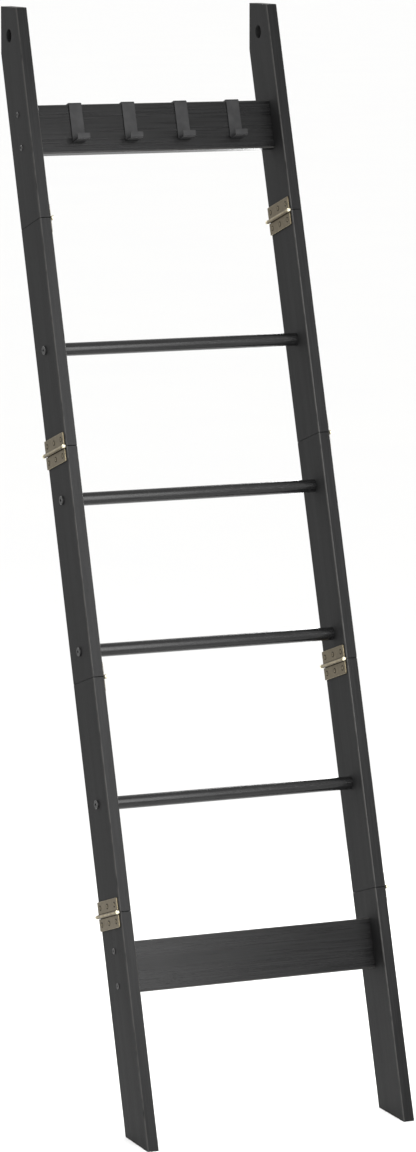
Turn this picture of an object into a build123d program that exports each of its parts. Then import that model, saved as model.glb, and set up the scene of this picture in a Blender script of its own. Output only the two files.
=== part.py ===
from build123d import *
from math import cos, radians, sin, sqrt, tan
import os

# A leaning blanket ladder in black-painted wood. Two rails, each of five boards joined end to end
# by brass butt hinges, carry two cross boards and four round rungs. Four loose metal hooks hang
# over the top board. The feet stand on the floor and the upright cuts at the top rest on a wall.
#
# Everything is drawn on an upright ladder: x to the right, y towards the wall with the rails'
# back edges on y = 0, and z up the rails from the heel. LEANING then tips it against the wall.
# Millimetres and degrees.

# Overall
LADDER_WIDTH = 432.0  # across the rails' outer faces
LADDER_HEIGHT = 1650.0  # floor to the level tops
LEAN = 17.5  # from upright, towards the wall

# Rails
RAIL_THICKNESS = 18.0
RAIL_DEPTH = 85.0  # front edge to back edge
EDGE_EASE = 2.0  # radius worked on every long edge
END_CHAMFER = 0.5  # on the edges of every sawn end
WALL_CUT = 76.0  # height of the upright face that rests on the wall
END_SECTION = 340.0  # foot and top sections, at mid depth; the three between them share the rest
SEAM_GAP = 0.4
HANG_HOLE_DIAMETER = 20.0
HANG_HOLE_DROP = 46.0  # hole centre below the level top, along the rail
HANG_HOLE_CHAMFER = 0.8

# Boards and rungs
BOARD_HEIGHT = 76.0
BOARD_THICKNESS = 18.0
BOTTOM_BOARD_RISE = 259.5  # board centre above the level foot, along the rail
TOP_BOARD_DROP = 195.5  # board centre below the level top, along the rail
RUNG_DIAMETER = 20.0
LOWEST_RUNG_RISE = 245.0  # above the bottom board's centre; the rungs are evenly spaced
TOP_RUNG_DROP = 340.0  # below the top board's centre

# Rung bolts and the threaded inserts that they pull on
BOLT_DIAMETER = 6.0
BOLT_HEAD_DIAMETER = 13.5
BOLT_HEAD_HEIGHT = 3.0
BOLT_HEX = 4.0
BOLT_HEX_DEPTH = 2.0
BOLT_END_GAP = 2.0  # bolt tip short of the insert's inner end
INSERT_DIAMETER = 10.0
INSERT_LENGTH = 15.0
BOLT_HOLE_CLEARANCE = 0.2  # radial, through the rail
THREAD_CLEARANCE = 0.05  # radial, between a thread's crests and its hole

# Board screws
BOARD_SCREW_SPACING = 52.0
BOARD_SCREW_DIAMETER = 5.0
BOARD_SCREW_REACH = 32.0  # into the board's end
BOARD_SCREW_HEAD_DIAMETER = 9.0
BOARD_SCREW_HEAD_HEIGHT = 1.6
BOARD_SCREW_HEX = 3.0
BOARD_SCREW_HEX_DEPTH = 1.0

# Hinges
HINGE_SETBACK = 5.0  # leaf short of the rail's front edge
LEAF_WIDTH = 22.0  # pin axis to the leaf's outer edge
LEAF_THICKNESS = 2.0
LEAF_CORNER = 1.2
LEAF_CHAMFER = 0.35
KNUCKLE_COUNT = 5
KNUCKLE_DIAMETER = 6.0
KNUCKLE_GAP = 0.3
KNUCKLE_LIFT = 0.3  # barrel clear of the wood
PIN_DIAMETER = 3.1
PIN_CLEARANCE = 0.05
BALL_DIAMETER = 6.4
BALL_SINK = 0.8  # part of the ball's radius that its flat cuts away
SCREW_ROW = 12.5  # screw row from the pin axis
SCREW_EDGE = 10.5  # end screws in from the leaf's ends
HINGE_SCREW_DIAMETER = 3.0
HINGE_SCREW_LENGTH = 13.0
HINGE_SCREW_HEAD_DIAMETER = 6.4
HINGE_SCREW_CONE = 1.7
HINGE_SCREW_DOME = 0.6
HINGE_SCREW_TIP = 3.0
CROSS_LENGTH = 3.4
CROSS_WIDTH = 0.8
CROSS_DEPTH = 1.0

# Hooks
HOOK_COUNT = 4
HOOK_PITCH = 87.0
HOOK_ROW_SHIFT = 5.0  # the row hangs a little right of centre
HOOK_WIDTH = 21.0
HOOK_STRIP = 2.0
HOOK_EDGE = 0.5  # radius on the strip's edges
HOOK_DROP = 62.0  # overall height of the front plate
HOOK_REACH = 21.0  # front plate's face to the tip's face
HOOK_TIP = 9.0  # overall height of the upturned tip
HOOK_BACK = 22.0  # overall height of the lip behind the board
HOOK_BEND = 2.0  # bend radius at the middle of the strip
HOOK_CLEARANCE = 0.3

# Derived places
lean = radians(LEAN)
outer_face = LADDER_WIDTH / 2
inner_face = outer_face - RAIL_THICKNESS
mid_depth = -RAIL_DEPTH / 2
wall_y = (LADDER_HEIGHT - WALL_CUT) * tan(lean)
toe_y = -RAIL_DEPTH / cos(lean)
heel_y = -(wall_y + toe_y) / 2
LEANING = Location((0, heel_y, 0), (-LEAN, 0, 0))


def rail_z(height, y):
    """How far up the rail a point at depth y stands at this height above the floor."""
    return (height + y * sin(lean)) / cos(lean)


foot_z = rail_z(0, mid_depth)
top_z = rail_z(LADDER_HEIGHT, mid_depth)
middle_section = (top_z - foot_z - 2 * END_SECTION) / 3
seams = [foot_z + END_SECTION + n * middle_section for n in range(4)]
bottom_board_z = foot_z + BOTTOM_BOARD_RISE
top_board_z = top_z - TOP_BOARD_DROP
lowest_rung_z = bottom_board_z + LOWEST_RUNG_RISE
rung_pitch = (top_board_z - TOP_RUNG_DROP - lowest_rung_z) / 3
rungs_z = [lowest_rung_z + n * rung_pitch for n in range(4)]
hang_hole_z = top_z - HANG_HOLE_DROP
board_screws_z = [
    board_z + side * BOARD_SCREW_SPACING / 2
    for board_z in (bottom_board_z, top_board_z)
    for side in (-1, 1)
]
leaf_length = RAIL_DEPTH - HINGE_SETBACK
pin_lift = KNUCKLE_LIFT + KNUCKLE_DIAMETER / 2
screws_y = [n * (leaf_length / 2 - SCREW_EDGE) for n in (-1, 0, 1)]


def rod_x(diameter, x_start, x_end, y, z):
    """A round bar across the ladder."""
    bar = Cylinder(diameter / 2, abs(x_end - x_start))
    return Pos((x_start + x_end) / 2, y, z) * Rot(0, 90, 0) * bar


def rod_y(diameter, y_start, y_end, x, z):
    """A round bar from front to back."""
    bar = Cylinder(diameter / 2, abs(y_end - y_start))
    return Pos(x, (y_start + y_end) / 2, z) * Rot(90, 0, 0) * bar


def turned(*outline):
    """A solid turned about the z axis from an outline of (radius, z) points, on the axis at both ends."""
    return revolve(Plane.XZ * make_face(Polyline(*outline, close=True)), Axis.Z)


def hex_socket(across_flats, depth):
    """A hexagonal key hole that opens upwards at z = 0."""
    return Pos(0, 0, -depth) * extrude(RegularPolygon(across_flats / sqrt(3), 6), depth)


# Rails

# Each fold's hinges sit on one face of the rails: the outer, inner, outer and inner faces, foot to top.
fold_faces = (outer_face, inner_face, outer_face, inner_face)


def hinge_places(side):
    """Each fold's hinge on one rail: its frame has x out of the wood and y along the pin."""
    for face_x, seam_z in zip(fold_faces, seams):
        points_right = (face_x == outer_face) == (side > 0)
        turn = 0 if points_right else 180
        yield Location((side * face_x, -leaf_length / 2, seam_z), (0, 0, turn))


def rail_bores(side):
    """Everything bored in a rail, as (z, cutter)."""
    out_x = side * (outer_face + 1)
    in_x = side * (inner_face - 1)
    yield hang_hole_z, rod_x(HANG_HOLE_DIAMETER, out_x, in_x, mid_depth, hang_hole_z)
    for z in rungs_z:
        yield z, rod_x(BOLT_DIAMETER + 2 * BOLT_HOLE_CLEARANCE, out_x, in_x, mid_depth, z)
    for z in board_screws_z:
        yield z, rod_x(BOARD_SCREW_DIAMETER + 2 * BOLT_HOLE_CLEARANCE, out_x, in_x, mid_depth, z)
    pilot = HINGE_SCREW_DIAMETER + 2 * THREAD_CLEARANCE
    pilot_depth = HINGE_SCREW_LENGTH - LEAF_THICKNESS + SEAM_GAP
    for place in hinge_places(side):
        for leaf in (-1, 1):
            for y in screws_y:
                hole = place * rod_x(pilot, -pilot_depth, 1, y, leaf * SCREW_ROW)
                yield place.position.Z + leaf * SCREW_ROW, hole


def rail_outline(section):
    """Side view of one section as (y, z) points, 0 at the foot to 4 at the top."""
    foot_cut = [(0, 0), (-RAIL_DEPTH, rail_z(0, -RAIL_DEPTH))]
    cut_y = -WALL_CUT * sin(lean)
    top_cut = [
        (-RAIL_DEPTH, rail_z(LADDER_HEIGHT, -RAIL_DEPTH)),
        (cut_y, rail_z(LADDER_HEIGHT, cut_y)),
        (0, rail_z(LADDER_HEIGHT - WALL_CUT, 0)),
    ]
    lower_ends = [foot_cut] + [[(y, z + SEAM_GAP / 2) for y in (0, -RAIL_DEPTH)] for z in seams]
    upper_ends = [[(y, z - SEAM_GAP / 2) for y in (-RAIL_DEPTH, 0)] for z in seams] + [top_cut]
    return lower_ends[section] + upper_ends[section]


def rail_section(side, section):
    outline = rail_outline(section)
    board = extrude(Plane.YZ * make_face(Polyline(*outline, close=True)), RAIL_THICKNESS)
    board = fillet(board.edges().filter_by(Axis.Z), EDGE_EASE)
    sawn = board.faces().filter_by(lambda face: abs(face.normal_at().Z) > sin(lean) / 2)
    board = chamfer(sawn.edges(), END_CHAMFER)
    board = Pos(inner_face if side > 0 else -outer_face, 0, 0) * board
    heights = [z for y, z in outline]
    for z, bore in rail_bores(side):
        if min(heights) < z < max(heights):
            board -= bore
    if section == len(seams):
        rims = board.edges().filter_by(GeomType.CIRCLE).sort_by(lambda edge: edge.radius)[-2:]
        board = chamfer(rims, HANG_HOLE_CHAMFER)
    return board


# Boards and rungs


def cross_board(centre_z):
    board = Pos(0, mid_depth, centre_z) * Box(2 * inner_face, BOARD_THICKNESS, BOARD_HEIGHT)
    board = fillet(board.edges().filter_by(Axis.X), EDGE_EASE)
    hole_end = inner_face - BOARD_SCREW_REACH - SEAM_GAP
    for side in (-1, 1):
        for z in (centre_z - BOARD_SCREW_SPACING / 2, centre_z + BOARD_SCREW_SPACING / 2):
            bore = BOARD_SCREW_DIAMETER + 2 * THREAD_CLEARANCE
            board -= rod_x(bore, side * hole_end, side * (inner_face + 1), mid_depth, z)
    return board


def rung(z):
    bar = rod_x(RUNG_DIAMETER, -inner_face, inner_face, mid_depth, z)
    for side in (-1, 1):
        bore = INSERT_DIAMETER + 2 * THREAD_CLEARANCE
        bore_end = inner_face - INSERT_LENGTH
        bar -= rod_x(bore, side * bore_end, side * (inner_face + 1), mid_depth, z)
    return bar


def rung_insert(side, z):
    """A threaded sleeve in the rung's end, with a slot across its mouth for driving it in."""
    inner_end = side * (inner_face - INSERT_LENGTH)
    sleeve = rod_x(INSERT_DIAMETER, inner_end, side * inner_face, mid_depth, z)
    thread = rod_x(BOLT_DIAMETER + 2 * THREAD_CLEARANCE, inner_end, side * (inner_face + 1), mid_depth, z)
    slot = Pos(side * inner_face, mid_depth, z) * Box(2 * BOLT_HEX_DEPTH, INSERT_DIAMETER, INSERT_DIAMETER / 6)
    return sleeve - thread - slot


def rung_bolt():
    """Head up, seated on z = 0."""
    reach = RAIL_THICKNESS + INSERT_LENGTH - BOLT_END_GAP
    radius = BOLT_DIAMETER / 2
    head = Pos(0, 0, BOLT_HEAD_HEIGHT / 2) * Cylinder(BOLT_HEAD_DIAMETER / 2, BOLT_HEAD_HEIGHT)
    head = fillet(head.faces().sort_by(Axis.Z)[-1].edges(), BOLT_HEAD_HEIGHT / 3)
    shank = turned((0, -reach), (radius * 0.7, -reach), (radius, -reach + radius), (radius, 0), (0, 0))
    return head + shank - Pos(0, 0, BOLT_HEAD_HEIGHT) * hex_socket(BOLT_HEX, BOLT_HEX_DEPTH)


def board_screw():
    """Head up, seated on z = 0."""
    reach = RAIL_THICKNESS + BOARD_SCREW_REACH
    radius = BOARD_SCREW_DIAMETER / 2
    head_size = BOARD_SCREW_HEAD_DIAMETER / 2
    head = Pos(0, 0, BOARD_SCREW_HEAD_HEIGHT / 2) * Cylinder(head_size, BOARD_SCREW_HEAD_HEIGHT)
    head = fillet(head.faces().sort_by(Axis.Z)[-1].edges(), BOARD_SCREW_HEAD_HEIGHT / 2)
    shank = turned((0, -reach), (radius, -reach + 2 * radius), (radius, 0), (0, 0))
    socket = Pos(0, 0, BOARD_SCREW_HEAD_HEIGHT) * hex_socket(BOARD_SCREW_HEX, BOARD_SCREW_HEX_DEPTH)
    return head + shank - socket


def driven(fastener, side, z):
    """Put a head-up fastener through a rail from its outer face."""
    return Pos(side * outer_face, mid_depth, z) * Rot(0, side * 90, 0) * fastener


# Hinges, each drawn about its seam: x out of the wood, y along the pin, z across the leaves


def hinge_leaf(half):
    """The upper leaf has the end and middle knuckles, the lower leaf the ones between them."""
    plate_start = KNUCKLE_DIAMETER / 2 + KNUCKLE_GAP
    plate_width = LEAF_WIDTH - plate_start
    plate_z = half * (plate_start + plate_width / 2)
    leaf = Pos(LEAF_THICKNESS / 2, 0, plate_z) * Box(LEAF_THICKNESS, leaf_length, plate_width)
    outer_edges = leaf.edges().filter_by(Axis.X).sort_by(lambda edge: half * edge.center().Z)[-2:]
    leaf = fillet(outer_edges, LEAF_CORNER)
    leaf = chamfer(leaf.faces().sort_by(Axis.X)[-1].edges(), LEAF_CHAMFER)
    knuckle_pitch = leaf_length / KNUCKLE_COUNT
    for n in range(0 if half > 0 else 1, KNUCKLE_COUNT, 2):
        start = -leaf_length / 2 + n * knuckle_pitch + (KNUCKLE_GAP / 2 if n > 0 else 0)
        end = -leaf_length / 2 + (n + 1) * knuckle_pitch - (KNUCKLE_GAP / 2 if n < KNUCKLE_COUNT - 1 else 0)
        web_width = plate_start + LEAF_CHAMFER
        web = Pos(LEAF_THICKNESS / 2, (start + end) / 2, half * web_width / 2)
        leaf += web * Box(LEAF_THICKNESS, end - start, web_width)
        leaf += rod_y(KNUCKLE_DIAMETER, start, end, pin_lift, 0)
    leaf -= rod_y(PIN_DIAMETER + 2 * PIN_CLEARANCE, -leaf_length, leaf_length, pin_lift, 0)
    head = HINGE_SCREW_HEAD_DIAMETER / 2 + THREAD_CLEARANCE
    shank = HINGE_SCREW_DIAMETER / 2 + THREAD_CLEARANCE
    sink = turned((0, -LEAF_THICKNESS), (shank, -LEAF_THICKNESS), (shank, -HINGE_SCREW_CONE), (head, 0), (0, 0))
    for y in screws_y:
        leaf -= Pos(LEAF_THICKNESS, y, half * SCREW_ROW) * Rot(0, 90, 0) * sink
    return leaf


def hinge_pin():
    """A plain pin with a ball at each end that keeps it in the knuckles."""
    flat = leaf_length / 2 + KNUCKLE_GAP
    ball_y = flat + BALL_SINK * BALL_DIAMETER / 2
    pin = rod_y(PIN_DIAMETER, -ball_y, ball_y, pin_lift, 0)
    for end in (-1, 1):
        ball = Pos(pin_lift, end * ball_y, 0) * Sphere(BALL_DIAMETER / 2)
        pin += ball - Pos(pin_lift, 0, 0) * Box(BALL_DIAMETER, 2 * flat, BALL_DIAMETER)
    return pin


def hinge_screw():
    """A raised countersunk wood screw, its head's rim on z = 0."""
    head = HINGE_SCREW_HEAD_DIAMETER / 2
    shank = HINGE_SCREW_DIAMETER / 2
    dome_top = (0, HINGE_SCREW_DOME)
    tip = (0, -HINGE_SCREW_LENGTH)
    sides = Polyline(
        dome_top, tip, (shank, -HINGE_SCREW_LENGTH + HINGE_SCREW_TIP), (shank, -HINGE_SCREW_CONE), (head, 0)
    )
    dome = ThreePointArc((head, 0), (head * 0.55, HINGE_SCREW_DOME * 0.7), dome_top)
    screw = revolve(Plane.XZ * make_face(sides + dome), Axis.Z)
    for turn in (0, 90):
        slot = Pos(0, 0, HINGE_SCREW_DOME) * Box(CROSS_LENGTH, CROSS_WIDTH, 2 * CROSS_DEPTH)
        screw -= Rot(0, 0, turn) * slot
    return screw


def hinge_screws():
    screw = hinge_screw()
    return [
        Pos(LEAF_THICKNESS, y, half * SCREW_ROW) * Rot(0, 90, 0) * screw for half in (-1, 1) for y in screws_y
    ]


# Hooks


def hook(x):
    """A bent strip: lip behind the board, over its top edge, down its face, forward and up."""
    inset = HOOK_CLEARANCE + HOOK_STRIP / 2
    back_y = mid_depth + BOARD_THICKNESS / 2 + inset
    front_y = mid_depth - BOARD_THICKNESS / 2 - inset
    over_z = top_board_z + BOARD_HEIGHT / 2 + inset
    top = over_z + HOOK_STRIP / 2
    arm_z = top - HOOK_DROP + HOOK_STRIP / 2
    tip_y = front_y - HOOK_REACH
    bends = FilletPolyline(
        (back_y, top - HOOK_BACK),
        (back_y, over_z),
        (front_y, over_z),
        (front_y, arm_z),
        (tip_y, arm_z),
        (tip_y, arm_z - HOOK_STRIP / 2 + HOOK_TIP),
        radius=HOOK_BEND,
    )
    strip = extrude(Plane.YZ * trace(bends, HOOK_STRIP), HOOK_WIDTH)
    strip = fillet(strip.faces().filter_by(Axis.X).edges(), HOOK_EDGE)
    return Pos(x - HOOK_WIDTH / 2, 0, 0) * strip


# Nodes

section_names = ("foot", "lower", "middle", "upper", "top")
side_names = {"left": -1, "right": 1}
nodes = {"bottom_board": [cross_board(bottom_board_z)], "top_board": [cross_board(top_board_z)]}
for number, z in enumerate(rungs_z, 1):
    nodes[f"rung_{number}"] = [rung(z)]
nodes["rung_inserts"] = [rung_insert(side, z) for side in (-1, 1) for z in rungs_z]
for side_name, side in side_names.items():
    for section, section_name in enumerate(section_names):
        nodes[f"{side_name}_rail_{section_name}"] = [rail_section(side, section)]
    nodes[f"{side_name}_rung_bolts"] = [driven(rung_bolt(), side, z) for z in rungs_z]
    nodes[f"{side_name}_board_screws"] = [driven(board_screw(), side, z) for z in board_screws_z]
    for number, place in enumerate(hinge_places(side), 1):
        hinge = f"{side_name}_hinge_{number}"
        nodes[f"{hinge}_upper_leaf"] = [place * hinge_leaf(1)]
        nodes[f"{hinge}_lower_leaf"] = [place * hinge_leaf(-1)]
        nodes[f"{hinge}_pin"] = [place * hinge_pin()]
        nodes[f"{hinge}_screws"] = [place * screw for screw in hinge_screws()]
for number in range(HOOK_COUNT):
    x = HOOK_ROW_SHIFT + (number - (HOOK_COUNT - 1) / 2) * HOOK_PITCH
    nodes[f"hook_{number + 1}"] = [hook(x)]

os.makedirs("parts", exist_ok=True)
for name, pieces in nodes.items():
    solids = [solid for piece in pieces for solid in (LEANING * piece).solids()]
    export_step(Compound(solids), f"parts/{name}.step")
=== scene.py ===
from math import atan2, cos, pi, radians, sin, sqrt

import bmesh
import bpy
from mathutils import Matrix, Vector


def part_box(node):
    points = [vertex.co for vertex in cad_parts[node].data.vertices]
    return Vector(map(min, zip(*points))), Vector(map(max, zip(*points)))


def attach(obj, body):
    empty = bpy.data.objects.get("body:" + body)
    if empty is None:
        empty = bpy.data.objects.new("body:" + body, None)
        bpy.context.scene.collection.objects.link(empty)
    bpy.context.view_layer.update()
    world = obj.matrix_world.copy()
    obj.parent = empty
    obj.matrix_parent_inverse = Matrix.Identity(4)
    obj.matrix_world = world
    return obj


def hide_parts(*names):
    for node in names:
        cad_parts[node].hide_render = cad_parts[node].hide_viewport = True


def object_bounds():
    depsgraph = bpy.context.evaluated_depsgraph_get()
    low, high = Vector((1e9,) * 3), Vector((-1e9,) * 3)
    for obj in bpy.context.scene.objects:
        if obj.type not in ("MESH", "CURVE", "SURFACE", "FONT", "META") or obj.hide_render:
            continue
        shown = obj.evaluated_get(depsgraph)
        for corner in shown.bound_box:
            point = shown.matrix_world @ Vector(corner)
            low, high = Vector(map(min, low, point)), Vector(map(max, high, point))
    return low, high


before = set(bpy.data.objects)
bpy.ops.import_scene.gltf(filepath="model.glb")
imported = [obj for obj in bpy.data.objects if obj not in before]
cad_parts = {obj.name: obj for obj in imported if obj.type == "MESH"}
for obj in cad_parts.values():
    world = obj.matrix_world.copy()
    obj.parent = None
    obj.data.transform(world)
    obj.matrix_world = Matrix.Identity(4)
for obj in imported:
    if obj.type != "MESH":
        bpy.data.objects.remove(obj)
cad_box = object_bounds()

# ---------------------------------------------------------------------------------------------
# Rails. Each is five planed boards, 85 by 18 mm, butted end to end and joined by brass hinges.
# Their thin black satin paint lets the grain stand up through it and wears along the eased edges,
# which are also painted lighter as a highlight along the arrises. The sawn tops, which the paint only
# lightly covers, are painted lighter too, which also stands in for the light falling on them from above.

MM = 0.001
RAIL_SECTIONS = ("foot", "lower", "middle", "upper", "top")
RAIL_THICKNESS = 18 * MM
RAIL_DEPTH = 85 * MM
EASED_EDGE = 2 * MM
PAINT_DEEP = (0.0035, 0.0035, 0.0036, 1)
PAINT_THIN = (0.0090, 0.0090, 0.0092, 1)
# Lighter paint on the eased edges: wear, and a painted highlight along the arrises.
PAINT_WORN_AND_HIGHLIT = (0.046, 0.045, 0.043, 1)
# The sawn tops' colour: end grain under thin paint, and painted light on these upward faces.
END_GRAIN_AND_TOP_LIGHT = (0.072, 0.070, 0.067, 1)
FIBRE_SPACING = 1.9 * MM
FIBRE_RUN = 90 * MM
BAND_SPACING = 9 * FIBRE_SPACING
BAND_RUN = 4 * FIBRE_RUN
PORE_SPACING = 0.55 * MM
PORE_RUN = 9 * MM
PAINT_PEEL = 1.3 * MM
GRAIN_HEIGHT = 0.09 * MM
HANDLED_GLOSS = 0.24
WORN_PATCH = 25 * MM
SAWN_SKIN = 0.4 * MM
FIRST_RAIL_SEED = 3


def centre(node):
    """The middle of a CAD node's box."""
    lowest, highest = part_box(node)
    return (lowest + highest) / 2


up_the_rail = (centre("left_hinge_3_pin") - centre("left_hinge_1_pin")).normalized()
lean = atan2(up_the_rail.y, up_the_rail.z)
leaning = Matrix.Rotation(-lean, 4, "X")
mid_depth = (leaning.inverted() @ centre("rung_1")).y


class Wire:
    """A node's output. Arithmetic on it adds the Math nodes that work it out."""

    def __init__(self, finish, output):
        self.finish = finish
        self.output = output

    def math(self, operation, *values):
        return self.finish.node("ShaderNodeMath", {"operation": operation}, dict(enumerate(values)))

    def __add__(self, other):
        return self.math("ADD", self, other)

    def __sub__(self, other):
        return self.math("SUBTRACT", self, other)

    def __rsub__(self, other):
        return self.math("SUBTRACT", other, self)

    def __mul__(self, other):
        return self.math("MULTIPLY", self, other)

    def __pow__(self, other):
        return self.math("POWER", self, other)

    def __abs__(self):
        return self.math("ABSOLUTE", self)

    __radd__ = __add__
    __rmul__ = __mul__

    def least(self, other):
        return self.math("MINIMUM", self, other)

    def most(self, other):
        return self.math("MAXIMUM", self, other)

    def step(self, low, high):
        """0 below low and 1 above high, with a smooth rise between."""
        sockets = {"Value": self, "From Min": low, "From Max": high}
        return self.finish.node("ShaderNodeMapRange", {"interpolation_type": "SMOOTHSTEP"}, sockets)


class Finish:
    """A material, built node by node onto its Principled shader."""

    def __init__(self, name):
        self.material = bpy.data.materials.new(name)
        self.material.use_nodes = True
        self.tree = self.material.node_tree
        self.place = self.node("ShaderNodeTexCoord", {}, {}, "Object")

    def node(self, kind, settings, sockets, output=0):
        made = self.tree.nodes.new(kind)
        for setting, value in settings.items():
            setattr(made, setting, value)
        self.fill(made, sockets)
        return Wire(self, made.outputs[output])

    def fill(self, node, sockets):
        for name, value in sockets.items():
            if isinstance(value, Wire):
                self.tree.links.new(value.output, node.inputs[name])
            else:
                node.inputs[name].default_value = value

    def shade(self, sockets):
        self.fill(self.tree.nodes["Principled BSDF"], sockets)
        return self.material

    def mix(self, factor, first, second):
        """A colour between two colours."""
        return self.node("ShaderNodeMix", {"data_type": "RGBA"}, {0: factor, 6: first, 7: second}, 2)

    def split(self, vector):
        """A vector's x, y and z."""
        return [self.node("ShaderNodeSeparateXYZ", {}, {0: vector}, axis) for axis in "XYZ"]

    def own(self, name):
        """A number that each piece carries for itself."""
        settings = {"attribute_type": "OBJECT", "attribute_name": name}
        return self.node("ShaderNodeAttribute", settings, {}, "Fac")

    def mottle(self, place, sizes, seed, detail=2.0):
        """Noise from 0 to 1 whose blotches have this size along each axis."""
        rates = [1 / size for size in sizes]
        scaled = self.node("ShaderNodeVectorMath", {"operation": "MULTIPLY"}, {0: place, 1: rates})
        sockets = {"Vector": scaled, "W": seed, "Scale": 1.0, "Detail": detail, "Roughness": 0.6}
        return self.node("ShaderNodeTexNoise", {"noise_dimensions": "4D"}, sockets)

    def bump(self, height, size, strength=1.0):
        return self.node("ShaderNodeBump", {}, {"Height": height, "Distance": size, "Strength": strength})


def painted_wood(name, grain_axis, sheen, dullness, wear_and_highlight=None):
    """Black paint over wood whose fibres run along one axis of the leaning ladder."""
    finish = Finish(name)
    sockets = {"Vector": finish.place, "Angle": lean}
    level = finish.node("ShaderNodeVectorRotate", {"rotation_type": "X_AXIS"}, sockets)
    seed = finish.own("seed")

    def streaks(spacing, run, detail):
        sizes = [run if axis == grain_axis else spacing for axis in "XYZ"]
        return finish.mottle(level, sizes, seed, detail)

    fibres = streaks(FIBRE_SPACING, FIBRE_RUN, 3.0)
    bands = streaks(BAND_SPACING, BAND_RUN, 1.0)
    pores = streaks(PORE_SPACING, PORE_RUN, 1.0).step(0.60, 0.72)
    peel = finish.mottle(level, [PAINT_PEEL] * 3, seed, 1.0)
    ridges = fibres.step(0.36, 0.66)
    colour = finish.mix((ridges * 0.6 + bands * 0.5 - 0.10).step(0.0, 1.0), PAINT_DEEP, PAINT_THIN)
    roughness = dullness + 0.12 * fibres + 0.10 * pores - 0.08 * bands
    if wear_and_highlight:
        rubbed_and_highlit, handled = wear_and_highlight(*finish.split(level), finish)
        rubbed_and_highlit = rubbed_and_highlit * finish.mottle(level, [WORN_PATCH] * 3, seed).step(0.18, 0.55)
        # Rubbed edges are painted lighter: wear, and a painted highlight along the arrises.
        colour = finish.mix(rubbed_and_highlit * 0.7, colour, PAINT_WORN_AND_HIGHLIT)
        roughness = roughness - 0.10 * rubbed_and_highlit - HANDLED_GLOSS * handled
    # The sawn tops are painted lighter: end grain under thin paint, and painted light where they face up.
    top = cad_box[1].z
    sawn_top = finish.split(finish.place)[2].step(top - SAWN_SKIN, top - SAWN_SKIN / 4)
    colour = finish.mix(sawn_top, colour, END_GRAIN_AND_TOP_LIGHT)
    height = ridges * 0.55 + peel * 0.12 - pores * 0.45
    return finish.shade({
        "Base Color": colour,
        "Roughness": roughness,
        "Normal": finish.bump(height, GRAIN_HEIGHT, 0.8),
        "Specular IOR Level": sheen,
    })


def corner(first, second, first_half, second_half):
    """1 in the middle of an eased edge, from the distances to a board's two mid planes."""
    past_first = abs(first) - (first_half - EASED_EDGE)
    past_second = abs(second) - (second_half - EASED_EDGE)
    return past_first.least(past_second).step(0.0, 0.3 * EASED_EDGE)


def rail_wear_and_edge_highlight(across, depth, up, finish):
    """Where a rail's paint is rubbed thin and painted lighter as an edge highlight, and where hands have
    left it smoother.
    """
    from_middle = abs(across) - abs(centre("left_rail_foot").x)
    from_mid_depth = depth - mid_depth
    handled = abs(from_mid_depth).step(RAIL_DEPTH / 2 - EASED_EDGE / 2, RAIL_DEPTH / 2 - EASED_EDGE / 8)
    return corner(from_middle, from_mid_depth, RAIL_THICKNESS / 2, RAIL_DEPTH / 2), handled


def finish_node(node, material):
    """Gives a CAD node its material."""
    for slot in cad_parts[node].material_slots:
        slot.material = material


def finish_plank(node, material, seed):
    """Finishes a wooden node, and gives it the number that sets its grain apart from the others'."""
    finish_node(node, material)
    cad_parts[node]["seed"] = float(seed)


rail_paint = painted_wood("black_paint_on_rail", "Z", sheen=0.18, dullness=0.64, wear_and_highlight=rail_wear_and_edge_highlight)
rail_boards = [f"{side}_rail_{section}" for side in ("left", "right") for section in RAIL_SECTIONS]
for seed, board in enumerate(rail_boards, FIRST_RAIL_SEED):
    finish_plank(board, rail_paint, seed)

# ---------------------------------------------------------------------------------------------
# Cross boards. Two planed boards, 76 by 18 mm, stand between the rails and hold them apart.
# They are painted like the rails, with the grain running across the ladder, and each is held by
# two screws driven through either rail into its end.

BOARD_HEIGHT = 76 * MM
BOARD_THICKNESS = 18 * MM
FIRST_BOARD_SEED = 21


def board_wear_and_edge_highlight(across, depth, up, finish):
    """Where a board's paint is rubbed thin and painted lighter as an edge highlight. Nobody handles its
    faces.
    """
    return corner(depth - mid_depth, up - finish.own("middle"), BOARD_THICKNESS / 2, BOARD_HEIGHT / 2), 0.0


board_paint = painted_wood("black_paint_on_board", "X", sheen=0.20, dullness=0.26, wear_and_highlight=board_wear_and_edge_highlight)
for seed, board in enumerate(("bottom_board", "top_board"), FIRST_BOARD_SEED):
    finish_plank(board, board_paint, seed)
    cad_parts[board]["middle"] = (leaning.inverted() @ centre(board)).z

# ---------------------------------------------------------------------------------------------
# Rungs. Four round dowels, 20 mm across, painted with the boards. A brass insert is screwed into
# each end, with a coarse outer thread that bites the wood and a plain bore for the bolt.

RUNG_COUNT = 4
FIRST_RUNG_SEED = 31
INSERT_RADIUS = 5.0 * MM
INSERT_LENGTH = 15.0 * MM
INSERT_BORE = 3.05 * MM
INSERT_PITCH = 2.2 * MM
INSERT_THREAD = 0.7 * MM
INSERT_COLLAR = 2.2 * MM
INSERT_EASE = 0.2 * MM
THREAD_STEPS = 8
TURNED_SIDES = 48
CREASE = radians(35)
BRASS_RAW = (0.62, 0.47, 0.22, 1)
BRASS_DULL = (0.42, 0.30, 0.13, 1)

rung_paint = painted_wood("black_paint_on_rung", "X", sheen=0.39, dullness=0.22)
for index in range(RUNG_COUNT):
    finish_plank(f"rung_{index + 1}", rung_paint, FIRST_RUNG_SEED + index)


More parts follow.
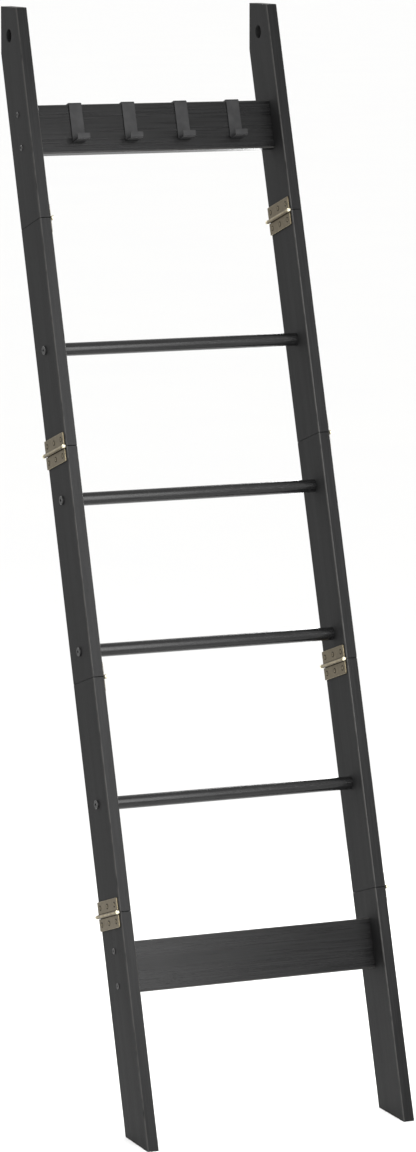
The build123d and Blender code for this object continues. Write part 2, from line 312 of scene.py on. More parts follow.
def turned(mesh, stations, place, hollow=False):
    """Adds a body turned about z. Each station is (height, radius), where a radius may be a function
    of the angle. A solid body is capped at both ends, and a hollow one is joined end to start."""
    rings = []
    for height, radius in stations:
        ring = []
        for side_number in range(TURNED_SIDES):
            angle = 2 * pi * side_number / TURNED_SIDES
            out = radius(angle) if callable(radius) else radius
            ring.append(mesh.verts.new(place @ Vector((out * cos(angle), out * sin(angle), height))))
        rings.append(ring)
    for lower, upper in zip(rings, rings[1:] + rings[:1] if hollow else rings[1:]):
        for n in range(TURNED_SIDES):
            mesh.faces.new((lower[n - 1], lower[n], upper[n], upper[n - 1]))
    if not hollow:
        mesh.faces.new(rings[0])
        mesh.faces.new(rings[-1])


def thread(start, end, crest, depth, pitch, fade=0.0):
    """Stations of a screw thread from start up to end, which runs out over its last stretch."""
    count = max(2, round((end - start) / pitch * THREAD_STEPS))
    for step in range(count + 1):
        height = start + (end - start) * step / count
        cut = depth * min(1.0, (end - height) / fade) if fade else depth

        def radius(angle, height=height, cut=cut):
            return crest - cut * (0.5 + 0.5 * cos(2 * pi * height / pitch - angle))

        yield height, radius


def smooth_piece(name, mesh, place=Matrix.Identity(4), crease=CREASE):
    """An object from a finished bmesh with its faces outwards, smooth but for its creases."""
    bmesh.ops.recalc_face_normals(mesh, faces=mesh.faces)
    if mesh.calc_volume(signed=True) < 0:
        bmesh.ops.reverse_faces(mesh, faces=mesh.faces)
    data = bpy.data.meshes.new(name)
    mesh.to_mesh(data)
    mesh.free()
    if crease:
        data.shade_smooth()
        data.set_sharp_from_angle(angle=crease)
    piece = bpy.data.objects.new(name, data)
    piece.matrix_world = place
    bpy.context.scene.collection.objects.link(piece)
    return piece


def raw_brass():
    """Machined brass, a little dulled, with fine turning marks."""
    finish = Finish("turned_brass")
    dull = finish.mottle(finish.place, [3 * MM] * 3, seed=1.7, detail=3.0)
    marks = finish.mottle(finish.place, [0.15 * MM, 4 * MM, 4 * MM], seed=5.1)
    return finish.shade({
        "Base Color": finish.mix(dull, BRASS_RAW, BRASS_DULL),
        "Metallic": 1.0,
        "Roughness": 0.24 + 0.2 * dull,
        "Normal": finish.bump(marks, 0.02 * MM),
    })


def rung_ends():
    """Each rung's two ends, as the matrix of a frame whose z points out of the rung."""
    for number in range(1, RUNG_COUNT + 1):
        lowest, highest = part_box(f"rung_{number}")
        end = centre(f"rung_{number}")
        for side, end.x in ((-1, lowest.x), (1, highest.x)):
            outwards = Matrix.Rotation(side * pi / 2, 4, "Y")
            yield side, Matrix.Translation(end) @ leaning @ outwards


def add_insert(mesh, place):
    """A threaded insert with its mouth at z = 0, opening upwards."""
    root = INSERT_RADIUS - INSERT_THREAD
    start = -INSERT_LENGTH + 0.5 * MM
    end = -INSERT_COLLAR - 2 * INSERT_EASE
    stations = list(thread(start, end, INSERT_RADIUS, INSERT_THREAD, INSERT_PITCH))
    stations += [(-INSERT_COLLAR - INSERT_EASE, root), (-INSERT_COLLAR, INSERT_RADIUS)]
    stations += [(-INSERT_EASE, INSERT_RADIUS), (0, INSERT_RADIUS - INSERT_EASE)]
    stations += [(0, INSERT_BORE + 2 * INSERT_EASE), (-2 * INSERT_EASE, INSERT_BORE)]
    stations += [(-INSERT_LENGTH, INSERT_BORE), (-INSERT_LENGTH, root)]
    turned(mesh, stations, place, hollow=True)


insert_mesh = bmesh.new()
for side, place in rung_ends():
    add_insert(insert_mesh, place)
inserts = smooth_piece("rung_inserts_threaded", insert_mesh)
inserts.data.materials.append(raw_brass())
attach(inserts, "ladder")
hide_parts("rung_inserts")

# ---------------------------------------------------------------------------------------------
# Rung bolts. Black-oxide steel bolts with thin round heads pass through the rails into the rungs'
# inserts and pull the rungs tight. Each head has a hexagon socket and a softened rim.

BOLT_RADIUS = 3.0 * MM
BOLT_REACH = 31.0 * MM
BOLT_HEAD_RADIUS = 6.75 * MM
BOLT_HEAD_HEIGHT = 3.0 * MM
BOLT_HEX = 4.0 * MM
BOLT_HEX_DEPTH = 2.0 * MM
BOLT_PITCH = 1.0 * MM
BOLT_THREAD = 0.6 * MM
OXIDE = (0.009, 0.009, 0.0095, 1)
OXIDE_WORN = (0.20, 0.195, 0.19, 1)


def hexagon(across_flats):
    """The radius of a hexagon at any angle."""

    def radius(angle):
        return across_flats / 2 / cos((angle + pi / 6) % (pi / 3) - pi / 6)

    return radius


def rounded(radius, height, ease, steps=5):
    """Stations round a head's top rim, from its side to its top."""
    for step in range(steps + 1):
        turn = pi / 2 * step / steps
        yield height - ease + ease * sin(turn), radius - ease + ease * cos(turn)


def hex_socket(height, across_flats, depth):
    """Stations of a hexagon key hole sunk from a head's top, with a broken rim and a drilled floor."""
    corner_radius = across_flats / sqrt(3)
    return [
        (height, corner_radius + 0.25 * MM),
        (height - 0.15 * MM, hexagon(across_flats)),
        (height - depth, hexagon(across_flats)),
        (height - depth - 0.1 * MM, across_flats * 0.46),
        (height - depth - 0.35 * MM, across_flats * 0.1),
    ]


def black_oxide():
    """Blackened steel, worn a little where a rim turns from the head's side to its top."""
    finish = Finish("black_oxide_steel")
    facing = abs(finish.split(finish.node("ShaderNodeNewGeometry", {}, {}, "Normal"))[0])
    rim = facing.step(0.15, 0.55) * (1.0 - facing.step(0.80, 0.98))
    worn = rim * finish.mottle(finish.place, [1.6 * MM] * 3, seed=3.3, detail=3.0).step(0.30, 0.62)
    grit = finish.mottle(finish.place, [0.25 * MM] * 3, seed=8.2)
    return finish.shade({
        "Base Color": finish.mix(worn * 0.6, OXIDE, OXIDE_WORN),
        "Metallic": 0.8 * worn,
        "Roughness": 0.42 - 0.12 * worn,
        "Normal": finish.bump(grit, 0.02 * MM),
        "Specular IOR Level": 0.3,
    })


oxide = black_oxide()


def add_bolt(mesh, place):
    """A rung bolt with its head seated on z = 0 and pointing up."""
    shank = thread(-BOLT_REACH + 1.2 * MM, -2.5 * MM, BOLT_RADIUS, BOLT_THREAD, BOLT_PITCH, fade=1.5 * MM)
    stations = [(-BOLT_REACH, 0.7 * BOLT_RADIUS), *shank, (0, BOLT_RADIUS)]
    stations += [(0, BOLT_HEAD_RADIUS - 0.15 * MM), (0.15 * MM, BOLT_HEAD_RADIUS)]
    stations.extend(rounded(BOLT_HEAD_RADIUS, BOLT_HEAD_HEIGHT, BOLT_HEAD_HEIGHT / 3))
    stations.extend(hex_socket(BOLT_HEAD_HEIGHT, BOLT_HEX, BOLT_HEX_DEPTH))
    turned(mesh, stations, place)


for side_name, sign in (("left", -1), ("right", 1)):
    bolt_mesh = bmesh.new()
    for side, end in rung_ends():
        if side == sign:
            add_bolt(bolt_mesh, end @ Matrix.Translation((0, 0, RAIL_THICKNESS)))
    bolts = smooth_piece(f"{side_name}_rung_bolts_threaded", bolt_mesh)
    bolts.data.materials.append(oxide)
    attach(bolts, "ladder")
    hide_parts(f"{side_name}_rung_bolts")

# ---------------------------------------------------------------------------------------------
# Board screws. Two long wood screws hold each end of each cross board, driven through the rail.
# They are black like the bolts, with small pan heads and hexagon sockets.

SCREW_SPACING = 52.0 * MM
SCREW_RADIUS = 2.5 * MM
SCREW_REACH = 50.0 * MM
SCREW_PLAIN = 20.0 * MM
SCREW_HEAD_RADIUS = 4.5 * MM
SCREW_HEAD_HEIGHT = 1.6 * MM
SCREW_HEX = 3.0 * MM
SCREW_HEX_DEPTH = 1.0 * MM
SCREW_PITCH = 2.4 * MM
SCREW_THREAD = 0.8 * MM


def wood_point(reach, radius, length):
    """Stations of a wood screw's plain tapering point."""
    shares = ((0, 0.08), (0.5, 0.45), (1, 0.68))
    return [(-reach + share * length, width * radius) for share, width in shares]


def add_board_screw(mesh, place):
    """A board screw with its head seated on z = 0 and pointing up."""
    point = wood_point(SCREW_REACH, SCREW_RADIUS, 2 * SCREW_RADIUS)
    start = -SCREW_REACH + 2.2 * SCREW_RADIUS
    shank = thread(start, -SCREW_PLAIN, SCREW_RADIUS, SCREW_THREAD, SCREW_PITCH, fade=2 * MM)
    stations = [*point, *shank, (0, SCREW_RADIUS), (0, SCREW_HEAD_RADIUS - 0.1 * MM)]
    stations.extend(rounded(SCREW_HEAD_RADIUS, SCREW_HEAD_HEIGHT, 0.75 * SCREW_HEAD_HEIGHT))
    stations.extend(hex_socket(SCREW_HEAD_HEIGHT, SCREW_HEX, SCREW_HEX_DEPTH))
    turned(mesh, stations, place)


for side_name, sign in (("left", -1), ("right", 1)):
    screw_mesh = bmesh.new()
    face_x = sign * (abs(centre("left_rail_foot").x) + RAIL_THICKNESS / 2)
    for board in ("bottom_board", "top_board"):
        for shift in (-SCREW_SPACING / 2, SCREW_SPACING / 2):
            seat = centre(board) + shift * up_the_rail
            seat.x = face_x
            outwards = Matrix.Rotation(sign * pi / 2, 4, "Y")
            add_board_screw(screw_mesh, Matrix.Translation(seat) @ leaning @ outwards)
    screws = smooth_piece(f"{side_name}_board_screws_threaded", screw_mesh)
    screws.data.materials.append(oxide)
    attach(screws, "ladder")
    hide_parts(f"{side_name}_board_screws")

# ---------------------------------------------------------------------------------------------
# Hinge leaves. Each leaf is blanked from 2 mm brass strip with its fingers and countersunk holes,
# and the fingers are rolled round the pin until they come back down on the leaf. The antique finish
# is painted with shade at the roots of the knuckles and with shadow round the screws, and is rubbed
# and painted with highlights on the edges and knuckle crests.

SEAMS = (1, 2, 3, 4)
LEAF_LENGTH = 80 * MM
LEAF_WIDTH = 22 * MM
LEAF_THICKNESS = 2 * MM
LEAF_CORNER = 1.2 * MM
LEAF_EDGE = 0.35 * MM
TOUCHING = 0.1 * MM
KNUCKLE_COUNT = 5
KNUCKLE_RADIUS = 3 * MM
KNUCKLE_BORE = 1.6 * MM
KNUCKLE_GAP = 0.3 * MM
PIN_LIFT = 3.3 * MM
CURL_TURN = radians(294)
CURL_STEPS = 28
WEB_STEPS = 4
SCREW_ROW = 12.5 * MM
SCREW_EDGE = 10.5 * MM
SINK_RADIUS = 3.25 * MM
SINK_DEPTH = 1.7 * MM
SINK_BORE = 1.55 * MM
SINK_SIDES = 32
HOLE_CELL = 4.6 * MM
BLOTCH = 7 * MM
SPECK = 0.9 * MM
DRAG = (1.5 * MM, 12 * MM, 0.5 * MM)
# Near black: patina specks, and painted shade in creases and round the screws.
PATINA_AND_SHADE_DARK = (0.012, 0.009, 0.006, 1)
PATINA = (0.078, 0.063, 0.040, 1)
PATINA_LIGHT = (0.160, 0.133, 0.086, 1)
# Rubbed brass, also painted on edges and crests as a highlight.
EDGE_RUBBED_AND_HIGHLIT = (0.46, 0.40, 0.27, 1)
HINGE_SEED_STEP = 1.7

plate_width = LEAF_WIDTH - KNUCKLE_RADIUS - KNUCKLE_GAP
hole_row = LEAF_WIDTH - SCREW_ROW
holes_along = [n * (LEAF_LENGTH / 2 - SCREW_EDGE) for n in (-1, 0, 1)]
hinges = [(side_name, seam) for side_name in ("left", "right") for seam in SEAMS]


def fingers(half):
    """Where each of a leaf's knuckles starts and ends along the pin."""
    pitch = LEAF_LENGTH / KNUCKLE_COUNT
    for number in range(0 if half > 0 else 1, KNUCKLE_COUNT, 2):
        start = -LEAF_LENGTH / 2 + number * pitch
        end = -LEAF_LENGTH / 2 + (number + 1) * pitch
        if number > 0:
            start += KNUCKLE_GAP / 2
        if number < KNUCKLE_COUNT - 1:
            end -= KNUCKLE_GAP / 2
        yield start, end


# Which way each side of a cell of the leaf faces, and that side's two corners.
CELL_SIDES = (
    ((-1, 0), (0, 0), (0, 1)),
    ((1, 0), (1, 0), (1, 1)),
    ((0, -1), (0, 0), (1, 0)),
    ((0, 1), (0, 1), (1, 1)),
)


def blank(half):
    """The flat leaf: x along the strip from its outer edge, y along the pin, z through it."""
    mesh = bmesh.new()
    curl = KNUCKLE_RADIUS * CURL_TURN
    across = [0, hole_row - HOLE_CELL, hole_row + HOLE_CELL]
    across += [plate_width + (LEAF_WIDTH - plate_width) * n / WEB_STEPS for n in range(WEB_STEPS)]
    across += [LEAF_WIDTH + curl * n / CURL_STEPS for n in range(CURL_STEPS + 1)]
    along = {-LEAF_LENGTH / 2, LEAF_LENGTH / 2}
    along |= {end for finger in fingers(half) for end in finger}
    along |= {y + side * HOLE_CELL for y in holes_along for side in (-1, 1)}
    along = sorted(along)
    cells = []
    for column in range(len(across) - 1):
        for row in range(len(along) - 1):
            middle = (along[row] + along[row + 1]) / 2
            in_finger = any(start < middle < end for start, end in fingers(half))
            if in_finger or across[column] < plate_width - TOUCHING:
                cells.append((column, row))
    points = {}

    def point(column, row, top):
        key = (column, row, top)
        if key not in points:
            points[key] = mesh.verts.new((across[column], along[row], LEAF_THICKNESS if top else 0))
        return points[key]

    def countersink(cell, hole_y):
        """Fills a cell with the leaf round a hole, and the hole's own sides."""
        angles = [2 * pi * (n - SINK_SIDES / 8) / SINK_SIDES for n in range(SINK_SIDES)]
        floor_of_sink = LEAF_THICKNESS - SINK_DEPTH
        rings = []
        for radius, height in ((SINK_RADIUS, LEAF_THICKNESS), (SINK_BORE, floor_of_sink), (SINK_BORE, 0)):
            circle = [(hole_row + radius * cos(a), hole_y + radius * sin(a), height) for a in angles]
            rings.append([mesh.verts.new(place) for place in circle])
        for upper, lower in zip(rings, rings[1:]):
            for n in range(SINK_SIDES):
                mesh.faces.new((upper[n - 1], upper[n], lower[n], lower[n - 1]))
        column, row = cell
        quarter = SINK_SIDES // 4
        for ring, top in ((rings[0], True), (rings[-1], False)):
            corners = [point(column + a, row + b, top) for a, b in ((1, 0), (1, 1), (0, 1), (0, 0))]
            for side in range(4):
                first, second = corners[side], corners[(side + 1) % 4]
                middle = side * quarter + quarter // 2
                for n in range(side * quarter, (side + 1) * quarter):
                    nearer = first if n < middle else second
                    mesh.faces.new((nearer, ring[n], ring[(n + 1) % SINK_SIDES]))
                mesh.faces.new((first, second, ring[middle]))

    hole_column = across.index(hole_row - HOLE_CELL)
    for column, row in cells:
        middle = (along[row] + along[row + 1]) / 2
        hole = [y for y in holes_along if abs(y - middle) < HOLE_CELL / 2]
        if column == hole_column and hole:
            countersink((column, row), hole[0])
        else:
            for top in (True, False):
                loop = [point(column + a, row + b, top) for a, b in ((0, 0), (1, 0), (1, 1), (0, 1))]
                mesh.faces.new(loop)
        for (beside, above), *edge in CELL_SIDES:
            if (column + beside, row + above) not in cells:
                first, second = [(column + a, row + b) for a, b in edge]
                wall = [(*first, True), (*second, True), (*second, False), (*first, False)]
                mesh.faces.new([point(*corner_point) for corner_point in wall])
    return mesh


def rolled(place):
    """Where a point of the flat leaf comes to lie once its finger is rolled round the pin."""
    strip, along, height = place
    rise = min(1.0, max(0.0, (strip - plate_width) / (LEAF_WIDTH - plate_width)))
    rise = rise * rise * (3 - 2 * rise)
    wall = LEAF_THICKNESS + rise * (KNUCKLE_RADIUS - KNUCKLE_BORE - LEAF_THICKNESS)
    back = -PIN_LIFT + rise * (PIN_LIFT - KNUCKLE_RADIUS)
    out = back + height / LEAF_THICKNESS * wall
    if strip <= LEAF_WIDTH:
        return Vector((out, along, LEAF_WIDTH - strip))
    angle = (strip - LEAF_WIDTH) / KNUCKLE_RADIUS
    return Vector((out * cos(angle), along, out * sin(angle)))


def at_corner(edge):
    """Whether an edge of the flat leaf goes through it at one of its two outer corners."""
    first, second = [vertex.co for vertex in edge.verts]
    upright = abs(first.z - second.z) > LEAF_THICKNESS / 2
    return upright and first.x < TOUCHING and abs(first.y) > LEAF_LENGTH / 2 - TOUCHING


def leaf_mesh(half):
    """A finished leaf about its pin: x out of the wood, y along the pin, z across the leaves."""
    mesh = blank(half)
    bmesh.ops.recalc_face_normals(mesh, faces=mesh.faces)
    rounding = {"offset": LEAF_CORNER, "segments": 5, "profile": 0.5, "affect": "EDGES"}
    bmesh.ops.bevel(mesh, geom=[edge for edge in mesh.edges if at_corner(edge)], **rounding)
    sharp = [edge for edge in mesh.edges if edge.calc_face_angle(0) > CREASE]
    bmesh.ops.bevel(mesh, geom=sharp, offset=LEAF_EDGE, segments=2, profile=0.6, affect="EDGES")
    for face in mesh.faces:
        in_plate = all(v.co.x < plate_width + TOUCHING for v in face.verts)
        face.smooth = not (in_plate and abs(face.normal.z) > 0.999)
    for vertex in mesh.verts:
        vertex.co = rolled(vertex.co)
        vertex.co.z *= half
    return mesh


def antique_brass(name, bright, bright_at, shade_at):
    """Brass with a brown patina. The functions say where it is bright, from rubbing and painted
    highlights, and where painted shade darkens it.
    """
    finish = Finish(name)
    seed = finish.own("seed")
    blotches = finish.mottle(finish.place, [BLOTCH] * 3, seed, 4.0)
    specks = finish.mottle(finish.place, [SPECK] * 3, seed, 3.0)
    drag = finish.mottle(finish.place, DRAG, seed, 2.0)
    position = finish.split(finish.place)
    rubbed_and_highlit = bright_at(*position) * blotches.step(0.22, 0.52)
    painted_shade = shade_at(*position)
    tone = (blotches * 0.55 + specks * 0.40 + drag * 0.30 - 0.12).step(0.18, 0.82)
    patina = finish.mix(tone, PATINA, PATINA_LIGHT)
    # Painted shade darkens the creases and rims, and random specks add patina.
    patina = finish.mix((painted_shade * 0.95).most(specks.step(0.62, 0.78) * 0.35), patina, PATINA_AND_SHADE_DARK)
    return finish.shade({
        "Base Color": finish.mix(rubbed_and_highlit, patina, bright),
        "Metallic": 1.0 - 0.9 * painted_shade,
        "Roughness": 0.40 + 0.16 * specks + 0.20 * painted_shade - 0.16 * rubbed_and_highlit,
        "Normal": finish.bump(specks * 0.6 + drag * 0.4, 0.05 * MM, 0.6),
        "Specular IOR Level": 0.1,
    })


# Rubbed wear and a painted highlight on the leaf's edges and knuckle crests.
def leaf_rubbed_and_highlit(out, along, across):
    rim = abs(along).step(LEAF_LENGTH / 2 - 0.5 * MM, LEAF_LENGTH / 2 - 0.1 * MM) * 0.15
    rim = rim.most(abs(across).step(LEAF_WIDTH - 0.6 * MM, LEAF_WIDTH - 0.15 * MM) * 0.5)
    crest = out.step(0.80 * KNUCKLE_RADIUS, 1.02 * KNUCKLE_RADIUS) * 0.50
    return rim.most(crest) * out.step(-PIN_LIFT + 0.6 * MM, -PIN_LIFT + 1.6 * MM)


# Painted shade in the creases at the roots of the knuckles, and painted shadow round the screws.
def leaf_painted_shade(out, along, across):
    row = abs(across) - SCREW_ROW
    nearest = abs(along).least(abs(abs(along) - holes_along[-1]))
    from_screw = (row * row + nearest * nearest) ** 0.5
    round_screws = 1 - from_screw.step(SINK_RADIUS + 0.5 * MM, SINK_RADIUS + 1.5 * MM)
    root = 1 - abs(abs(across) - 1.12 * KNUCKLE_RADIUS).step(0.2 * MM, 0.9 * MM)
    return round_screws.most(root * (1 - out.step(0, 1.5 * MM)))


def hinge_place(side_name, seam):
    """A hinge's own frame at its pin's centre, with x pointing out of the rail."""
    pin = centre(f"{side_name}_hinge_{seam}_pin")
    outwards = pin.x > centre(f"{side_name}_rail_foot").x
    return Matrix.Translation(pin) @ leaning @ Matrix.Rotation(0 if outwards else pi, 4, "Z")


def add_hinge_piece(mesh, node, made, material, hinge, crease=CREASE):
    """Puts a finished mesh on its hinge in place of the CAD node."""
    piece = smooth_piece(f"{node}_{made}", mesh, hinge_place(*hinge), crease)
    piece["seed"] = HINGE_SEED_STEP * hinges.index(hinge) + len(node)
    piece.data.materials.append(material)
    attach(piece, "ladder")
    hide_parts(node)


leaf_brass = antique_brass("antique_brass_leaf", EDGE_RUBBED_AND_HIGHLIT, leaf_rubbed_and_highlit, leaf_painted_shade)
for hinge in hinges:
    side_name, seam = hinge
    for leaf, half in (("upper", 1), ("lower", -1)):
        node = f"{side_name}_hinge_{seam}_{leaf}_leaf"
        mesh = leaf_mesh(half)
        add_hinge_piece(mesh, node, "rolled", leaf_brass, hinge, crease=0)

# ---------------------------------------------------------------------------------------------
# Hinge pins. Each is a turned brass rod held in the knuckles by a ball at either end. The balls
# stand out past the leaves and are polished bright by handling.

PIN_RADIUS = 1.55 * MM
BALL_RADIUS = 3.2 * MM
BALL_SINK = 0.8
BALL_STEPS = 14
BALL_BRIGHT = (0.90, 0.84, 0.63, 1)


def pin_mesh():
    """A ball-ended pin along y."""
    mesh = bmesh.new()
    flat = LEAF_LENGTH / 2 + KNUCKLE_GAP
    ball_centre = flat + BALL_SINK * BALL_RADIUS
    first = -pi / 2 + atan2(sqrt(1 - BALL_SINK**2), BALL_SINK)
    turns = [first + (0.49 * pi - first) * n / BALL_STEPS for n in range(BALL_STEPS + 1)]
    ball = [(ball_centre + BALL_RADIUS * sin(turn), BALL_RADIUS * cos(turn)) for turn in turns]
    shank = [(flat, PIN_RADIUS + 0.1 * MM), (flat - 0.1 * MM, PIN_RADIUS)]
    lower_end = [(-height, radius) for height, radius in reversed(ball)]
    stations = [*lower_end, *[(-h, r) for h, r in shank], *reversed(shank), *ball]
    turned(mesh, stations, Matrix.Rotation(-pi / 2, 4, "X"))
    return mesh


def pin_rubbed(out, along, across):
    return abs(along).step(LEAF_LENGTH / 2 + 0.6 * MM, LEAF_LENGTH / 2 + 1.6 * MM)


# Painted shade on the pin where it runs into the knuckles.
def pin_painted_shade(out, along, across):
    return 1 - abs(along).step(LEAF_LENGTH / 2 + 0.3 * MM, LEAF_LENGTH / 2 + 1.2 * MM)


pin_brass = antique_brass("polished_brass_ball", BALL_BRIGHT, pin_rubbed, pin_painted_shade)
for hinge in hinges:
    side_name, seam = hinge
    node = f"{side_name}_hinge_{seam}_pin"
    add_hinge_piece(pin_mesh(), node, "turned", pin_brass, hinge)

# ---------------------------------------------------------------------------------------------
# Hinge screws. Six raised countersunk wood screws with cross recesses hold each hinge. Their
# heads carry the same antique finish as the leaves, painted with shadow round the rims and bright
# on the domes, where the driver has rubbed and a glint is painted.

HINGE_SCREW_RADIUS = 1.5 * MM
HINGE_SCREW_LENGTH = 13 * MM
HINGE_HEAD_RADIUS = 3.2 * MM
HINGE_HEAD_CONE = 1.7 * MM
HINGE_HEAD_DOME = 0.6 * MM
HINGE_SCREW_PITCH = 1.3 * MM
HINGE_SCREW_THREAD = 0.45 * MM
RECESS_REACH = 1.7 * MM
RECESS_ARM = 0.42 * MM
RECESS_DEPTH = 1.0 * MM
RECESS_RIM = 1.95 * MM
TURN_ALONG = radians(37)
TURN_ACROSS = radians(25)


def cross(scale):
    """The radius of a cross recess at any angle."""
    reach = scale * RECESS_REACH
    arm = scale * RECESS_ARM

    def radius(angle):
        level, upright = max(abs(cos(angle)), 1e-6), max(abs(sin(angle)), 1e-6)
        return max(min(reach / level, arm / upright), min(arm / level, reach / upright))

    return radius


def dome_height(radius):
    """The raised head's height above its rim."""
    return HINGE_HEAD_DOME * (1 - (radius / HINGE_HEAD_RADIUS) ** 2)


def add_hinge_screw(mesh, place):
    """A hinge screw with its head's rim on z = 0."""
    point = wood_point(HINGE_SCREW_LENGTH, HINGE_SCREW_RADIUS, 2.6 * MM)
    start = -HINGE_SCREW_LENGTH + 3 * MM
    end = -HINGE_HEAD_CONE - 2 * MM
    shank = thread(start, end, HINGE_SCREW_RADIUS, HINGE_SCREW_THREAD, HINGE_SCREW_PITCH, fade=1 * MM)
    head = [(-HINGE_HEAD_CONE, HINGE_SCREW_RADIUS), (-0.12 * MM, HINGE_HEAD_RADIUS - 0.12 * MM)]
    radii = [HINGE_HEAD_RADIUS - 0.02 * MM - (HINGE_HEAD_RADIUS - RECESS_RIM) * n / 4 for n in range(5)]
    dome = [(dome_height(radius), radius) for radius in radii]
    lip = dome_height(RECESS_REACH)
    recess = [(lip, cross(1.08)), (lip - 0.12 * MM, cross(1.0)), (lip - 0.6 * RECESS_DEPTH, cross(0.82))]
    recess += [(lip - RECESS_DEPTH, cross(0.55)), (lip - 1.1 * RECESS_DEPTH, 0.1 * MM)]
    turned(mesh, point + list(shank) + head + dome + recess, place)


def hinge_screws_mesh():
    """A hinge's six screws, with each recess left at a different angle by the driver."""
    mesh = bmesh.new()
    outwards = Matrix.Rotation(pi / 2, 4, "Y")
    for half in (-1, 1):
        for number, along in enumerate(holes_along):
            seat = Matrix.Translation((LEAF_THICKNESS - PIN_LIFT, along, half * SCREW_ROW))
            turn = Matrix.Rotation(TURN_ALONG * number + TURN_ACROSS * half, 4, "Z")
            add_hinge_screw(mesh, seat @ outwards @ turn)
    return mesh


# The dome tops are bright: rubbed by the driver, and a painted glint.
def screw_rubbed_and_glint(out, along, across):
    return out.step(LEAF_THICKNESS - PIN_LIFT + 0.20 * MM, LEAF_THICKNESS - PIN_LIFT + 0.50 * MM) * 0.6


# Painted shadow on the screw below its rim, where it sinks into the countersink.
def screw_painted_shade(out, along, across):
    return 1 - out.step(LEAF_THICKNESS - PIN_LIFT + 0.10 * MM, LEAF_THICKNESS - PIN_LIFT + 0.45 * MM)


screw_brass = antique_brass("antique_brass_screw", EDGE_RUBBED_AND_HIGHLIT, screw_rubbed_and_glint, screw_painted_shade)
for hinge in hinges:
    side_name, seam = hinge
    node = f"{side_name}_hinge_{seam}_screws"
    add_hinge_piece(hinge_screws_mesh(), node, "crossed", screw_brass, hinge)

# ---------------------------------------------------------------------------------------------
# Hooks. Four flat steel strips, 21 by 2 mm, are bent over the top board's edge and up again at
# the tip, and slide along it. They are powder-coated black, a shade lighter than the wood.

HOOK_COUNT = 4
POWDER = (0.012, 0.012, 0.0125, 1)
POWDER_LIGHT = (0.020, 0.020, 0.0205, 1)


def powder_coat():
    """A dry black powder coat with its fine pebbled skin."""
    finish = Finish("black_powder_coat")
    pebbles = finish.mottle(finish.place, [0.6 * MM] * 3, seed=2.4)
    cloud = finish.mottle(finish.place, [14 * MM] * 3, seed=6.6)
    return finish.shade({
        "Base Color": finish.mix(cloud.step(0.3, 0.7), POWDER, POWDER_LIGHT),
        "Roughness": 0.42 + 0.12 * pebbles,
        "Normal": finish.bump(pebbles, 0.06 * MM, 0.7),
        "Specular IOR Level": 0.28,
    })


coat = powder_coat()
for number in range(1, HOOK_COUNT + 1):
    finish_node(f"hook_{number}", coat)

# ---------------------------------------------------------------------------------------------
# Studio. A wide pale floor under a white surround, a broad soft light over the ladder's left
# shoulder from behind, and two softboxes, one before the ladder and one behind it on the right.

FLOOR_REACH = 90.0
FLOOR_CLOUD = 0.8
FLOOR_PALE = (0.82, 0.82, 0.82, 1)
FLOOR_WARM = (0.84, 0.84, 0.83, 1)
SURROUND_STRENGTH = 0.92
WINDOW_ENERGY = 1.3
WINDOW_PLACE = (-1.6, 1.5, 1.9)
WINDOW_SPREAD = radians(50)
SOFTBOX_SIZE = (1.15, 1.7)
SOFTBOX_SPREAD = radians(110)
SOFTBOXES = (("front_softbox", 17, (-0.08, -1.25, 0.46)), ("back_softbox", 26, (1.25, 1.2, 0.1)))


def floor_paint():
    finish = Finish("pale_floor")
    cloud = finish.mottle(finish.place, [FLOOR_CLOUD] * 3, seed=0.0)
    return finish.shade({
        "Base Color": finish.mix(cloud, FLOOR_PALE, FLOOR_WARM),
        "Roughness": 0.85,
        "Specular IOR Level": 0.1,
    })


floor_mesh = bmesh.new()
bmesh.ops.create_circle(floor_mesh, cap_ends=True, segments=64, radius=FLOOR_REACH)
floor = smooth_piece("floor", floor_mesh)
floor.data.materials.append(floor_paint())

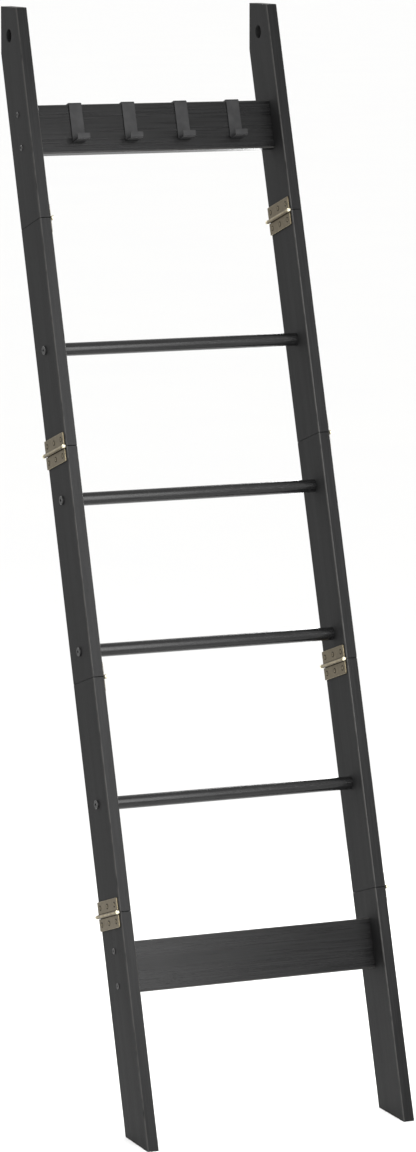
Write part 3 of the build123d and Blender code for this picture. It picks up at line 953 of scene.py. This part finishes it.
surround = bpy.data.worlds.new("white_surround")
surround.use_nodes = True
surround.node_tree.nodes["Background"].inputs["Color"].default_value = (1, 1, 1, 1)
surround.node_tree.nodes["Background"].inputs["Strength"].default_value = SURROUND_STRENGTH
bpy.context.scene.world = surround
bpy.context.scene.view_settings.view_transform = "Standard"

middle = (cad_box[0] + cad_box[1]) / 2


def aimed(light, offset):
    """Places a light this far from the ladder's middle, turned towards it."""
    turned_to = Vector(offset).to_track_quat("Z", "Y").to_matrix().to_4x4()
    light.matrix_world = Matrix.Translation(middle + Vector(offset)) @ turned_to
    light.visible_camera = False
    bpy.context.scene.collection.objects.link(light)


window = bpy.data.lights.new("window_light", "SUN")
window.energy = WINDOW_ENERGY
window.angle = WINDOW_SPREAD
aimed(bpy.data.objects.new("window_light", window), WINDOW_PLACE)

for name, energy, offset in SOFTBOXES:
    softbox = bpy.data.lights.new(name, "AREA")
    softbox.shape = "RECTANGLE"
    softbox.size, softbox.size_y = SOFTBOX_SIZE
    softbox.spread = SOFTBOX_SPREAD
    softbox.energy = energy
    aimed(bpy.data.objects.new(name, softbox), offset)

# ---------------------------------------------------------------------------------------------
# Camera. It stands to the ladder's left, a little above its middle, and looks slightly down.
# Its long lens keeps the rails nearly parallel, and the shift frames the ladder to its edges.

CAMERA_TURN = radians(23.086)
CAMERA_FALL = radians(8.13)
CAMERA_REACH = 6.896
CAMERA_LENS = 143.6
CAMERA_AIM = Vector((0, -0.0536, 0.9))
CAMERA_SHIFT = (-0.0101, -0.0540)
CAMERA_SENSOR = 36

level_sight = cos(CAMERA_FALL)
sight = Vector((sin(CAMERA_TURN) * level_sight, cos(CAMERA_TURN) * level_sight, -sin(CAMERA_FALL)))
lens = bpy.data.cameras.new("camera")
lens.lens = CAMERA_LENS
lens.sensor_width = CAMERA_SENSOR
lens.shift_x, lens.shift_y = CAMERA_SHIFT
camera = bpy.data.objects.new("camera", lens)
camera.location = CAMERA_AIM - CAMERA_REACH * sight
camera.rotation_euler = (-sight).to_track_quat("Z", "Y").to_euler()
bpy.context.scene.collection.objects.link(camera)
bpy.context.scene.camera = camera
